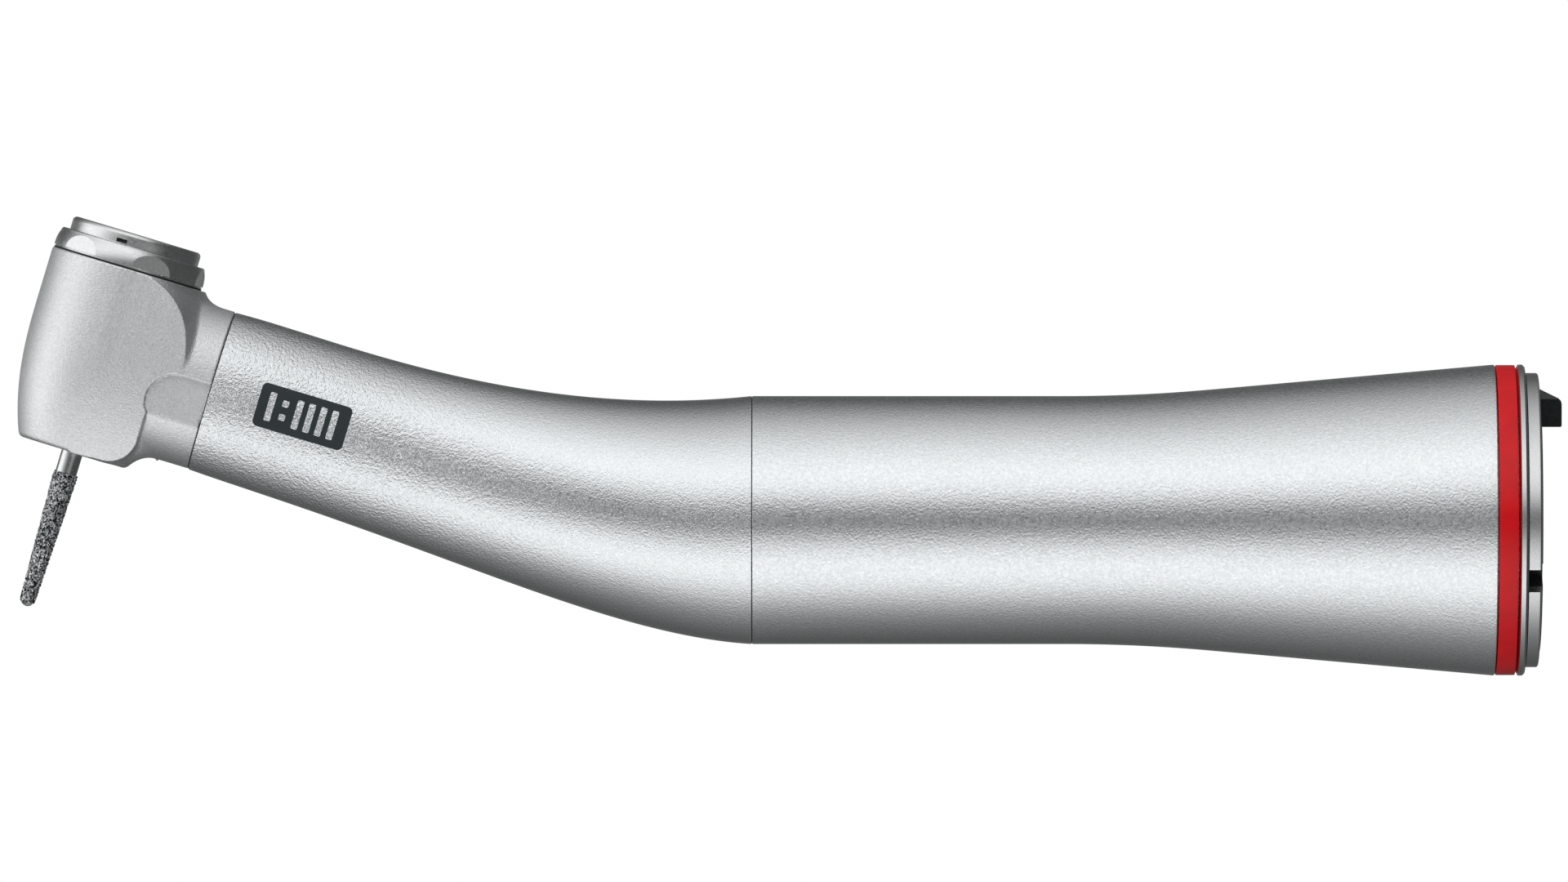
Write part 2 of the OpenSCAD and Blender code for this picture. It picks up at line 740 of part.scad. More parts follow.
module bur_diamond() {
    color("dimgray") in_head() difference() {
        rotate_extrude() polygon(concat(
            [[0, -bur_len]],
            [for (i = [1:5]) let (g = i * 18)
                [diamond_tip_r * sin(g), -bur_len + diamond_tip_r * (1 - cos(g))]],
            [[diamond_r, -bur_neck_len - 0.1], [diamond_r - 0.1, -bur_neck_len], [0, -bur_neck_len]]));
        rotate_extrude() polygon([
            [0, -bur_len + 0.5], [0.3, -bur_len + 0.5], [0.5, -bur_neck_len], [0.5, 0], [0, 0]]);
    }
}

// ---- Neck shaft ----

module neck_shaft() {
    color("silver") on_neck() {
        disc(neck_shaft_r, -neck_len + 1.8, -6.9);
        disc(pinion_stub_r, -7, -pinion_heel);
    }
}

module crown_gear() {
    color("silver") in_head() translate([0, 0, axis_h]) along_x() difference() {
        union() {
            rotate([0, 0, 180])
                bevel_gear(crown_teeth, crown_angle, head_cone, head_cone - face_w, head_cone,
                           addendum * head_module, dedendum * head_module, backlash);
            disc(1.5, 2.2, 3.5);
        }
        disc(neck_shaft_r, 0, 5);
    }
}

module neck_pinion() {
    color("silver") in_neck() rotate([0, -90, 0])
        bevel_gear(neck_pinion_teeth, pinion_angle, bend_cone, bend_cone - face_w, bend_cone,
                   addendum * bend_module, dedendum * bend_module, backlash);
}

module neck_inner_races() {
    color("lightgray") on_neck() for (span = [neck_front_bearing, neck_rear_bearing])
        inner_race(span, neck_shaft_r, neck_bearing_pitch_r, neck_ball_r);
}

module neck_balls() {
    color("white") on_neck() for (span = [neck_front_bearing, neck_rear_bearing])
        balls(span, neck_bearing_pitch_r, neck_ball_r, 7);
}

// ---- Main shaft ----

module main_shaft() {
    color("silver") along_x() disc(main_shaft_r, bend_x - cup_floor, -21);
}

module ring_gear() {
    color("silver") translate([bend_x, 0, 0]) rotate([0, -90, 0]) difference() {
        disc(cup_r, cup_rear, cup_front);
        bevel_gear(ring_teeth, ring_angle, bend_cone + 0.8, cup_floor / cos(ring_angle - 1.7), bend_cone,
                   dedendum * bend_module, addendum * bend_module, -backlash);
        disc(main_shaft_r, 0, 5);
    }
}

module drive_dog() {
    color("gray") along_x() difference() {
        disc(2.3, -23.9, -20.2);
        disc(main_shaft_r, -24.5, -21);
        translate([-3, -0.5, -21]) cube([6, 1.0, 2]);
    }
}

module main_inner_races() {
    color("lightgray") along_x() for (span = [main_front_bearing, main_rear_bearing])
        inner_race(span, main_shaft_r, main_bearing_pitch_r, main_ball_r);
}

module main_balls() {
    color("white") along_x() for (span = [main_front_bearing, main_rear_bearing])
        balls(span, main_bearing_pitch_r, main_ball_r, 8);
}

head_housing();
nose_seal();
cap_seal();
head_cap();
preload_washer();
spindle_outer_races();
neck_tube();
neck_outer_races();
neck_retaining_nut();
front_sheath();
tube_clip();
light_guide();
light_lens();
water_tube();
air_tube();
sheath_joint_ring();
rear_tube();
main_outer_races();
rear_tube_clip();
main_retaining_nut();
rear_sheath();
colour_ring();
coupling_body();
sheath_o_rings();
coupling_gasket();
coupling_ring();
coupling_sleeve();
locating_lug();
button_cap();
button_plunger();
button_spring();
spindle_sleeve();
chuck_collet();
spindle_inner_races();
spindle_balls();
bur_core();
bur_diamond();
neck_shaft();
crown_gear();
neck_pinion();
neck_inner_races();
neck_balls();
main_shaft();
ring_gear();
drive_dog();
main_inner_races();
main_balls();
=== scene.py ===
"""Looks of a contra-angle dental handpiece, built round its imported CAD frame.

Lengths in the shape code are millimetres and turn into metres in mesh_piece().
Three frames are used: the row frame (x, y, z), the neck frame (u along the neck axis, 0 at the bend)
and the head frame (u along the neck axis, w up the head axis, 0 at the head's bottom face).
"""

import json
import math

import bpy
import numpy as np
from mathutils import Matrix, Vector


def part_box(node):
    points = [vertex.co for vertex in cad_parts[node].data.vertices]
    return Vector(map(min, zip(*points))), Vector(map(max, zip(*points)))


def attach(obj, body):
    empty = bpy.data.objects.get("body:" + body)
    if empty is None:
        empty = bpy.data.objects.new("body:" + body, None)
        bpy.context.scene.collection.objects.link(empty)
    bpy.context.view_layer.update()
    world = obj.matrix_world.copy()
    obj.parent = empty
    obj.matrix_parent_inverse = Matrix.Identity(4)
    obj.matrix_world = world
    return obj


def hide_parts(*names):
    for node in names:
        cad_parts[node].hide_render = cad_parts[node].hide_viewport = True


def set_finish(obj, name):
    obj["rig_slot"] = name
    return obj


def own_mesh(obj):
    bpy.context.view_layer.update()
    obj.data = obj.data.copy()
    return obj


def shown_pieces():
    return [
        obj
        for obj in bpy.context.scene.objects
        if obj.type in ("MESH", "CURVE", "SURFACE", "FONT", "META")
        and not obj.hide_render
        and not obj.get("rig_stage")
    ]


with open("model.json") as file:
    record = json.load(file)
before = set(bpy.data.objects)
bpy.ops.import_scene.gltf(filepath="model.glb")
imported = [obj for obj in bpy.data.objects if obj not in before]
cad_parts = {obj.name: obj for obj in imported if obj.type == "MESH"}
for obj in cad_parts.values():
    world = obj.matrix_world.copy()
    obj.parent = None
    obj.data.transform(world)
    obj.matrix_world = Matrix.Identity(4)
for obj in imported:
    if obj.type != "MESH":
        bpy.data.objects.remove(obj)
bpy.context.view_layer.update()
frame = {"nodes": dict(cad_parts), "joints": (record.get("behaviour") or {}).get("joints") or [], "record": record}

MM = 0.001
JOINTS = {j["name"]: j for j in frame["joints"]}
U_AXIS = np.array(JOINTS["neck_shaft_spin"]["axis"], float)
W_AXIS = np.array(JOINTS["spindle_spin"]["axis"], float)
BEND = np.array(JOINTS["neck_shaft_spin"]["pos_m"], float) / MM
GEAR_CENTRE = np.array(JOINTS["spindle_spin"]["pos_m"], float) / MM

# Driving dimensions, the same as the CAD model's
AXIS_H = 6.36
NECK_LEN = float(np.linalg.norm(GEAR_CENTRE - BEND))
STUB_LEN = 7.45
HEAD_R, HEAD_FOOT_R, HEAD_H = 5.03, 3.6, 12.33
HEAD_FOOT = GEAR_CENTRE - AXIS_H * W_AXIS
NECK_HALF_H, NECK_HALF_W, SECTION_POWER = 5.27, 4.95, 2.2
HANDLE_R, SHEATH_WALL, SEAM_X = 8.0, 0.8, -50.7

# Seams between the shells: a shallow groove with a dark ring of painted shade in it
GROOVE_W, GROOVE_DEPTH, LINE_DEPTH, EDGE = 0.06, 0.18, 0.05, 0.02


# ---- Meshes ----


def head_points(points):
    """Head frame (u, y, w) to the row frame."""
    points = np.asarray(points, float)
    return HEAD_FOOT + points[:, :1] * U_AXIS + points[:, 1:2] * np.array([0, 1, 0]) + points[:, 2:3] * W_AXIS


def mesh_piece(name, points, faces, body, slot, replaces=(), sharp=35):
    """A mesh from millimetre points in the row frame.

    It is smooth up to edges of the sharp angle, in degrees; 0 shades it flat.
    """
    mesh = bpy.data.meshes.new(name)
    faces = faces if isinstance(faces, list) else faces.tolist()
    mesh.from_pydata((np.asarray(points) * MM).tolist(), [], faces)
    mesh.validate()
    mesh.update()
    if sharp:
        mesh.shade_smooth()
        mesh.set_sharp_from_angle(angle=math.radians(sharp))
    else:
        mesh.shade_flat()
    piece = bpy.data.objects.new(name, mesh)
    bpy.context.scene.collection.objects.link(piece)
    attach(piece, body)
    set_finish(piece, slot)
    if replaces:
        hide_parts(*replaces)
    return piece


def ring_faces(rings, sides, closed):
    """Quads between consecutive rings of the same size; closed adds those from the last ring to the first."""
    last = rings if closed else rings - 1
    j, i = np.meshgrid(np.arange(last), np.arange(sides), indexing="ij")
    here, after = j * sides, ((j + 1) % rings) * sides
    k = (i + 1) % sides
    return np.stack([here + i, after + i, after + k, here + k], -1).reshape(-1, 4)


def capped(faces, rings, sides):
    """The same faces as a list, with a flat cap on the first ring and on the last one."""
    first, last = list(range(sides)), [(rings - 1) * sides + i for i in range(sides)]
    return faces.tolist() + [first, last[::-1]]


def arc(cu, cw, radius, start, stop, steps):
    """Points on an arc, angles in degrees."""
    angles = np.radians(np.linspace(start, stop, steps + 1))
    return [(cu + radius * math.cos(a), cw + radius * math.sin(a)) for a in angles]


def rounded(profile, radius, steps=3):
    """A closed outline with each corner turned into a small arc."""
    points = [np.array(p, float) for p in profile]
    out = []
    for i, corner in enumerate(points):
        before, after = points[i - 1] - corner, points[(i + 1) % len(points)] - corner
        reach = min(radius, 0.45 * np.linalg.norm(before), 0.45 * np.linalg.norm(after))
        a = corner + before / np.linalg.norm(before) * reach
        b = corner + after / np.linalg.norm(after) * reach
        for t in np.linspace(0, 1, steps + 1):
            out.append((1 - t) ** 2 * a + 2 * t * (1 - t) * corner + t * t * b)
    return np.array(out)


def revolve(profile, sides, place):
    """Points of a closed (radius, height) outline turned about its axis, then put in place."""
    angles = np.linspace(0, 2 * math.pi, sides, endpoint=False)
    profile = np.asarray(profile, float)
    r, h = profile[:, :1], np.repeat(profile[:, 1:], sides, 1)
    return place(r * np.cos(angles), r * np.sin(angles), h)


def about_handle(a, b, h):
    """Handle frame: the height runs along x."""
    return np.stack([h, a, b], -1).reshape(-1, 3)


def about_head(a, b, h):
    """Head frame: the height runs up the head axis."""
    return head_points(np.stack([a, b, h], -1).reshape(-1, 3))


# ---- Head housing, as a signed distance field ----


def smooth_min(a, b, blend):
    """The smaller of two distances, rounded where they meet."""
    h = np.maximum(blend - np.abs(a - b), 0) / blend
    return np.minimum(a, b) - h * h * blend / 4


def smooth_max(a, b, blend):
    """The larger of two distances, rounded where they meet."""
    return -smooth_min(-a, -b, blend)


def head_radius(w):
    """Radius of the head's barrel at height w."""
    return HEAD_R - (HEAD_R - HEAD_FOOT_R) * np.maximum(1 - w / 9, 0) ** 2.6


def outline_distance(a, b, outline):
    """Signed distance from a grid of points to a closed outline."""
    best = np.full(np.broadcast(a, b).shape, 1e9)
    inside = np.zeros(best.shape, bool)
    for p, q in zip(outline, outline[1:] + outline[:1]):
        ea, eb = q[0] - p[0], q[1] - p[1]
        t = np.clip(((a - p[0]) * ea + (b - p[1]) * eb) / (ea * ea + eb * eb), 0, 1)
        best = np.minimum(best, (a - p[0] - t * ea) ** 2 + (b - p[1] - t * eb) ** 2)
        crosses = (p[1] <= b) != (q[1] <= b)
        if eb:
            inside ^= crosses & (a < p[0] + (b - p[1]) * ea / eb)
    return np.where(inside, -1, 1) * np.sqrt(best)


# Side views, in (u, w), of the flat cheek and of the patch cut into the neck stub beside it
CHEEK_GAP = 0.06
CHEEK_OUTLINE = (
    [(0, 0.02)]
    + arc(2.0, 1.96, 1.92, -90, 0, 16)
    + [(3.94, 4.2), (4.02, 5.1), (4.4, 6.0), (4.95, 6.9)]
    + arc(0.8, 7.8, 4.37, 2, 78, 40)
    + [(0, 12.1)]
)
PATCH_OUTLINE = [(4.0, 1.2), (3.97, 3.9)] + arc(5.45, 4.9, 1.85, 200, 90, 12) + [(9, 6.75), (9, 1.2)]
PATCH_SIDE = 4.45

# Bores on the head axis: radius, lowest and highest height
HEAD_BORES = [(1.75, -1, 1), (3.19, 0.35, 2.6), (3.3, 2.35, 10.2), (4.36, 10.0, 14)]
# Bores on the neck axis: radius, nearest and farthest distance from the head axis
NECK_BORES = [(3.8, 0, 3.4), (2.96, 3.3, 14)]
# Bores of the light guide, the pipes and the lens, and the lens's tilt
GUIDE_R, GUIDE_SIDE, GUIDE_DROP, GUIDE_START = 0.67, 2.56, 2.62, 5.3
LENS_END, LENS_TILT, LENS_LEN = 2.3, 24.8, 6
# The surface lies this far inside the housing's true size, so that no rounding error leaves the CAD box
SKIN = 0.002


def cylinder_along(u, y, w, start, direction, radius, length):
    """Distance to a rod from start along direction, in the plane y = 0."""
    du, dw = u - start[0], w - start[1]
    along = du * direction[0] + dw * direction[1]
    across = du * direction[1] - dw * direction[0]
    return np.maximum(np.sqrt(across**2 + y**2) - radius, np.maximum(-along, along - length))


def head_field(u, y, w):
    """Signed distance to the head housing, inside negative."""
    side = np.abs(y)
    rho = np.sqrt(u**2 + y**2)
    radius = head_radius(w)
    barrel = smooth_max(smooth_max(rho - radius, -w, 0.3), w - HEAD_H, 0.08)

    z = w - AXIS_H - 0.04
    section = (side / NECK_HALF_W) ** SECTION_POWER + (np.abs(z) / NECK_HALF_H) ** SECTION_POWER
    section = section ** (1 / SECTION_POWER)
    reach = np.sqrt(y**2 + z**2)
    stub = reach - reach / np.maximum(section, 1e-6)
    stub = smooth_max(np.maximum(stub, 2 - u), u - STUB_LEN, 0.06)
    body = smooth_min(barrel, stub, 0.2 + 1.5 * np.clip(1 - (side / 4.0) ** 2, 0, 1))
    body = np.maximum(body, w - HEAD_H)

    past_edge = outline_distance(u, w, CHEEK_OUTLINE)
    fall = np.maximum(past_edge, 0)
    cove = 0.6 * (side - radius + CHEEK_GAP + 0.95 * fall + 1.2 * fall**2)
    cove = np.maximum(np.maximum(cove, 6.5 - w), past_edge - 1.6)
    body = smooth_min(body, cove, 0.5)
    cheeks = smooth_max(past_edge, side - radius + CHEEK_GAP, 0.06)
    body = smooth_min(body, cheeks, 0.3)
    body = np.maximum(body, side - radius + CHEEK_GAP * np.clip(u / 0.8, 0, 1))
    body = np.maximum(body, w - HEAD_H)
    patch = np.maximum(outline_distance(u, w, PATCH_OUTLINE), PATCH_SIDE - side)
    body = smooth_max(body, -patch, 0.1)

    neck_reach = np.sqrt(y**2 + (w - AXIS_H) ** 2)
    spigot = np.maximum(neck_reach - 4.0, np.maximum(STUB_LEN - 0.5 - u, u - STUB_LEN - 2))
    body = np.minimum(body, spigot)

    for bore_r, low, high in HEAD_BORES:
        body = np.maximum(body, -np.maximum(rho - bore_r, np.maximum(low - w, w - high)))
    for bore_r, near, far in NECK_BORES:
        body = np.maximum(body, -np.maximum(neck_reach - bore_r, np.maximum(near - u, u - far)))
    tilt = math.radians(LENS_TILT)
    down_tilted = (-math.sin(tilt), -math.cos(tilt))
    lens = cylinder_along(u, y, w, (GUIDE_START, LENS_END), down_tilted, GUIDE_R, LENS_LEN)
    body = np.maximum(body, -lens)
    guides = np.sqrt((side - GUIDE_SIDE) ** 2 + (w - AXIS_H + GUIDE_DROP) ** 2) - GUIDE_R
    return np.maximum(body, -np.maximum(guides, GUIDE_START - u)) + SKIN


def surface_net(field, low, step):
    """Quads of the zero level of a sampled field, one vertex in each cell that it passes through."""
    inside = field < 0
    count = np.zeros(tuple(n - 1 for n in field.shape), np.int8)
    corners = [(i, j, k) for i in (0, 1) for j in (0, 1) for k in (0, 1)]
    nx, ny, nz = count.shape
    for i, j, k in corners:
        count += inside[i : i + nx, j : j + ny, k : k + nz]
    cells = np.argwhere((count > 0) & (count < 8))
    total, hits = np.zeros((len(cells), 3)), np.zeros((len(cells), 1))
    for a in corners:
        for axis in range(3):
            if a[axis]:
                continue
            b = list(a)
            b[axis] = 1
            va = field[tuple((cells + a).T)]
            vb = field[tuple((cells + b).T)]
            cross = (va < 0) != (vb < 0)
            t = np.where(cross, va / np.where(cross, va - vb, 1), 0)
            place = np.array(a) + t[:, None] * (np.array(b) - np.array(a))
            total += place * cross[:, None]
            hits += cross[:, None]
    points = low + step * (cells + total / hits)
    number = np.full(count.shape, -1, np.int32)
    number[tuple(cells.T)] = np.arange(len(cells))
    faces = []
    for axis in range(3):
        ahead = np.roll(inside, -1, axis)
        change = inside != ahead
        change[tuple(slice(-1, None) if d == axis else slice(None) for d in range(3))] = False
        edges = np.argwhere(change)
        p, q = (axis + 1) % 3, (axis + 2) % 3
        edges = edges[(edges[:, p] > 0) & (edges[:, q] > 0)]
        edges = edges[(edges[:, p] < count.shape[p]) & (edges[:, q] < count.shape[q])]
        quad = []
        for dp, dq in ((1, 1), (0, 1), (0, 0), (1, 0)):
            cell = edges.copy()
            cell[:, p] -= dp
            cell[:, q] -= dq
            quad.append(number[tuple(cell.T)])
        quad = np.stack(quad, 1)
        outward = inside[tuple(edges.T)]
        quad[~outward] = quad[~outward][:, ::-1]
        faces.append(quad)
    return points, np.concatenate(faces)


def build_head():
    """The head housing, sampled on a grid of (u, y, w) that reaches from low to high."""
    step = 0.065
    low, high = np.array([-5.3, -5.3, -0.3]), np.array([9.7, 5.3, 12.6])
    axes = [np.arange(a, b + step, step) for a, b in zip(low, high)]
    u, y, w = np.meshgrid(*axes, indexing="ij", sparse=True)
    field = np.asarray(head_field(u, y, w), np.float32)
    points, faces = surface_net(field, low, step)
    mesh_piece("head_shell", head_points(points), faces, "housing", "satin_metal", ["head_housing"], sharp=60)


# ---- Front sheath ----


def bezier(points, t):
    """The value at each t of a curve with these control points."""
    points = [np.asarray(p, float) for p in points]
    while len(points) > 1:
        points = [(1 - t)[..., None] * a + t[..., None] * b for a, b in zip(points, points[1:])]
    return points[0]


# Centre line from the head to the handle, in (x, z), and the half height of the section along it
NECK_FRONT, NECK_HANDLE = BEND - (NECK_LEN - STUB_LEN) * U_AXIS, BEND - 20.72 * U_AXIS
NECK_CURVE = [tuple(NECK_FRONT[[0, 2]]), tuple(NECK_HANDLE[[0, 2]]), (-61.94, 0), (SEAM_X, 0)]
NECK_SLOPES = [np.subtract(b, a) for a, b in zip(NECK_CURVE, NECK_CURVE[1:])]
HALF_HEIGHTS = [(NECK_HALF_H,), (5.6,), (4.71,), (7.35,), (HANDLE_R,)]


def sheath_section(t):
    """Centre, upward direction, half height, half width and power of the section at t."""
    t = np.asarray(t, float)
    centre, slope = bezier(NECK_CURVE, t), bezier(NECK_SLOPES, t)
    slope = slope / np.linalg.norm(slope, axis=-1, keepdims=True)
    up = np.stack([-slope[..., 1], slope[..., 0]], -1)
    half_h = bezier(HALF_HEIGHTS, t)[..., 0]
    share = NECK_HALF_W / NECK_HALF_H
    return centre, up, half_h, half_h * (share + (1 - share) * t), SECTION_POWER + (2 - SECTION_POWER) * t


def sheath_rings(name, rings, slot, replaces=()):
    """A closed tube through (t, inset) rings of the sheath; the last ring joins the first."""
    sides = 168
    t, inset = np.array(rings).T
    centre, up, half_h, half_w, power = (v[:, None] for v in sheath_section(t))
    angles = np.linspace(0, 2 * math.pi, sides, endpoint=False)
    c, s = np.cos(angles), np.sin(angles)
    y = (half_w - inset[:, None]) * np.sign(c) * np.abs(c) ** (2 / power)
    z = (half_h - inset[:, None]) * np.sign(s) * np.abs(s) ** (2 / power)
    plane = centre + z[..., None] * up
    points = np.stack([plane[..., 0], y, plane[..., 1]], -1).reshape(-1, 3)
    mesh_piece(name, points, ring_faces(len(t), sides, True)[:, ::-1], "housing", slot, replaces)


def build_front_sheath():
    """The bent neck shell, and a dark ring of painted shade in the groove at its front."""
    steps = 150
    # How far t moves in one millimetre, at each end of the centre line
    first_mm, last_mm = (1 / (3 * np.linalg.norm(leg)) for leg in (NECK_SLOPES[0], NECK_SLOPES[-1]))
    groove = GROOVE_W * first_mm
    start = groove + EDGE * first_mm
    outer = [(0, GROOVE_DEPTH), (groove, GROOVE_DEPTH), (groove, EDGE)]
    outer += [(t, 0) for t in np.linspace(start, 1 - EDGE * last_mm, steps)] + [(1, EDGE)]
    inner = [(t, SHEATH_WALL) for t in np.linspace(1, 0, 40)]
    sheath_rings("neck_shell", outer + inner, "neck_metal", ["front_sheath"])
    # A black ring on the groove's floor: painted shade standing in for the groove's shadow
    line = [(0, GROOVE_DEPTH), (0, LINE_DEPTH), (groove, LINE_DEPTH), (groove, GROOVE_DEPTH)]
    sheath_rings("neck_seam_shade", line, "black_rubber")


def sheath_side(u, w):
    """Row-frame point on the -Y side of the front sheath, seen at neck-frame (u, w)."""
    spot = (BEND + np.outer(u, U_AXIS) + np.outer(w, W_AXIS))[:, [0, 2]]
    t = np.full(len(u), 0.3)
    for _ in range(30):
        centre, up = sheath_section(t)[:2]
        along = (spot - centre)[:, 0] * up[:, 1] - (spot - centre)[:, 1] * up[:, 0]
        t = np.clip(t + along / 45, 0, 1)
    centre, up, half_h, half_w, power = sheath_section(t)
    z = np.sum((spot - centre) * up, 1)
    y = -half_w * (1 - np.abs(z / half_h) ** power) ** (1 / power)
    return np.stack([spot[:, 0], y, spot[:, 1]], 1)


# ---- Ratio plate ----

PLATE_U, PLATE_W = 13.65 - NECK_LEN, 6.5 - AXIS_H
PLATE_SIZE = (6.03, 2.89)


def side_patch(name, cu, cw, width, height, corner, lift, slot):
    """A thin rounded rectangle that lies on the side of the neck, lifted off it."""
    n_u, n_w = max(4, int(width / 0.12)), max(4, int(height / 0.12))
    a = np.linspace(-1, 1, n_u + 1)[:, None] * np.ones(n_w + 1)
    b = np.linspace(-1, 1, n_w + 1)[None, :] * np.ones((n_u + 1, 1))
    u, w = a * width / 2, b * height / 2
    ku, kw = width / 2 - corner, height / 2 - corner
    du, dw = np.abs(u) - ku, np.abs(w) - kw
    over = np.maximum(du, dw) / corner
    far = np.hypot(np.maximum(du, 0), np.maximum(dw, 0)) / corner
    pull = np.where((du > 0) & (dw > 0) & (far > 0), np.maximum(over, 0) / np.maximum(far, 1e-9), 1)
    u = np.where((du > 0) & (dw > 0), np.sign(u) * (ku + du * pull), u)
    w = np.where((du > 0) & (dw > 0), np.sign(w) * (kw + dw * pull), w)
    top = sheath_side((u + cu).ravel(), (w + cw).ravel())
    bottom = top + [0, 0.02, 0]
    top = top - [0, lift, 0]
    rows, columns = n_u + 1, n_w + 1
    i, j = np.meshgrid(np.arange(n_u), np.arange(n_w), indexing="ij")
    k = (i * columns + j).ravel()
    front = np.stack([k, k + columns, k + columns + 1, k + 1], 1)
    edge = [i * columns for i in range(rows)] + [(rows - 1) * columns + j for j in range(1, columns)]
    edge += [i * columns + columns - 1 for i in range(rows - 2, -1, -1)] + list(range(columns - 2, 0, -1))
    shift = len(top)
    rim = [(a, a + shift, b + shift, b) for a, b in zip(edge, edge[1:] + edge[:1])]
    faces = np.concatenate([front, front[:, ::-1] + shift, np.array(rim)])
    mesh_piece(name, np.concatenate([top, bottom]), faces, "housing", slot)


def build_plate():
    """A dark plate with a tally: one bar, two dots and four bars."""
    side_patch("ratio_plate", PLATE_U, PLATE_W, *PLATE_SIZE, 0.35, 0.008, "black_plastic")
    bar_h, bar_w, lift = 1.9, 0.42, 0.014
    marks = [("ratio_bar", -2.15, 0, bar_h)]
    marks += [("ratio_dot", -1.25, side * 0.45, bar_w) for side in (-1, 1)]
    marks += [("ratio_bar", -0.33 + 0.78 * i, 0, bar_h) for i in range(4)]
    for i, (name, u, w, height) in enumerate(marks):
        side_patch(f"{name}_{i}", PLATE_U + u, PLATE_W + w, bar_w, height, 0.06, lift, "neck_metal")


# ---- Rear sheath and rings ----

FLARE_START, FLARE_R, FLARE_SLOPE = -30.5, 105, 0.088
REAR_R, REAR_X = 10.02, -2.8


def flare_radius(x):
    """Outer radius of the rear sheath: cylinder, arc, then cone."""
    end = FLARE_START + FLARE_R * FLARE_SLOPE
    bent = np.clip(x, FLARE_START, end) - FLARE_START
    return HANDLE_R + FLARE_R - np.sqrt(FLARE_R**2 - bent**2) + np.maximum(x - end, 0) * FLARE_SLOPE


def build_rear_sheath():
    """The flared handle shell, and a dark ring of painted shade in the groove at its front."""
    groove_r, groove_x = HANDLE_R - GROOVE_DEPTH, SEAM_X + GROOVE_W
    profile = [(groove_r, SEAM_X), (groove_r, groove_x), (HANDLE_R - EDGE, groove_x)]
    profile += [(float(flare_radius(x)), x) for x in np.linspace(groove_x + EDGE, REAR_X - 0.1, 90)]
    profile += arc(REAR_R - 0.1, REAR_X - 0.1, 0.1, 30, 90, 3)
    profile += [(8.9, REAR_X), (8.9, -6), (7.2, FLARE_START), (7.2, SEAM_X)]
    sides = 240
    points = revolve(profile, sides, about_handle)
    mesh_piece("handle_shell", points, ring_faces(len(profile), sides, True)[:, ::-1], "housing",
               "handle_metal", ["rear_sheath"])
    # A black ring on the groove's floor: painted shade standing in for the groove's shadow
    line_r = HANDLE_R - LINE_DEPTH
    line = [(groove_r, SEAM_X), (line_r, SEAM_X), (line_r, groove_x), (groove_r, groove_x)]
    mesh_piece("handle_seam_shade", revolve(line, sides, about_handle), ring_faces(4, sides, True)[:, ::-1],
               "housing", "black_rubber")


def build_colour_ring():
    """The red ring, with rounded edges."""
    low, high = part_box("colour_ring")
    x0, x1, r = low[0] / MM, high[0] / MM, high[2] / MM
    sides, wall, edge = 240, 1.18, 0.07
    profile = rounded([(r - wall, x0), (r - wall, x1), (r, x1), (r, x0)], edge)
    mesh_piece("red_band", revolve(profile, sides, about_handle), ring_faces(len(profile), sides, True),
               "housing", "red_ring", ["colour_ring"])


# ---- Bur ----


def build_diamond():
    """The diamond coating: a tapered rod with coarse grit standing out of it."""
    top, tip, r_top, r_tip = -1.42, -10.4, 0.85, 0.55
    sides, rows, bond_depth = 150, 560, 0.1
    heights = np.linspace(tip + r_tip, top, rows)
    radii = r_tip + (r_top - r_tip) * (heights - heights[0]) / (top - heights[0])
    cap = np.radians(np.linspace(2, 88, 34))
    heights = np.concatenate([tip + 0.02 + (r_tip - 0.02) * (1 - np.cos(cap)), heights])
    radii = np.concatenate([r_tip * np.sin(cap), radii])
    angles = np.linspace(0, 2 * math.pi, sides, endpoint=False)
    rng = np.random.default_rng(7)
    grains = 3600
    place = rng.random(grains) * 2 * math.pi
    level = tip + (top - tip) * rng.random(grains)
    size = 0.05 + 0.07 * rng.random(grains)
    height = 0.02 + 0.07 * rng.random(grains)
    relief = np.zeros((len(heights), sides))
    for a, h, s, tall in zip(place, level, size, height):
        near = np.abs(heights - h) < s
        rows_near = np.nonzero(near)[0]
        if not len(rows_near):
            continue
        turn = (angles - a + math.pi) % (2 * math.pi) - math.pi
        arc_mm = turn[None, :] * radii[rows_near][:, None]
        far = np.maximum(np.abs(arc_mm), np.abs(heights[rows_near][:, None] - h)) * 0.6
        far = far + 0.4 * np.hypot(arc_mm, heights[rows_near][:, None] - h)
        bump = tall * np.clip(1.6 * (1 - far / s), 0, 1)
        relief[rows_near] = np.maximum(relief[rows_near], bump)
    r = radii[:, None] - bond_depth + relief
    points = about_head(r * np.cos(angles), r * np.sin(angles), np.repeat(heights[:, None], sides, 1))
    faces = capped(ring_faces(len(heights), sides, False)[:, ::-1], len(heights), sides)
    mesh_piece("diamond_coat", points, faces, "bur", "diamond_grit", ["bur_diamond"], sharp=0)


# ---- Head cap and push button ----

CAP_R, CAP_RIM_R, CAP_INNER_R, CAP_FOOT, CAP_FLOOR, CAP_TOP = 5.0, 4.8, 4.33, 12.42, 12.7, 13.75
CAP_FLAT, FIRST_FLAT = 4.82, -10.5
BUTTON_R, BUTTON_INNER_R, BUTTON_TOP, BUTTON_EDGE = 4.29, 3.85, 14.63, 0.28
PLUNGER_R, PLUNGER_TOP, SKIRT_BOTTOM = 0.9, 14.3, 13.38
SLOT_U, SLOT_W, SLOT_DEPTH = (-1.08, -0.38), (13.84, 14.09), 0.3


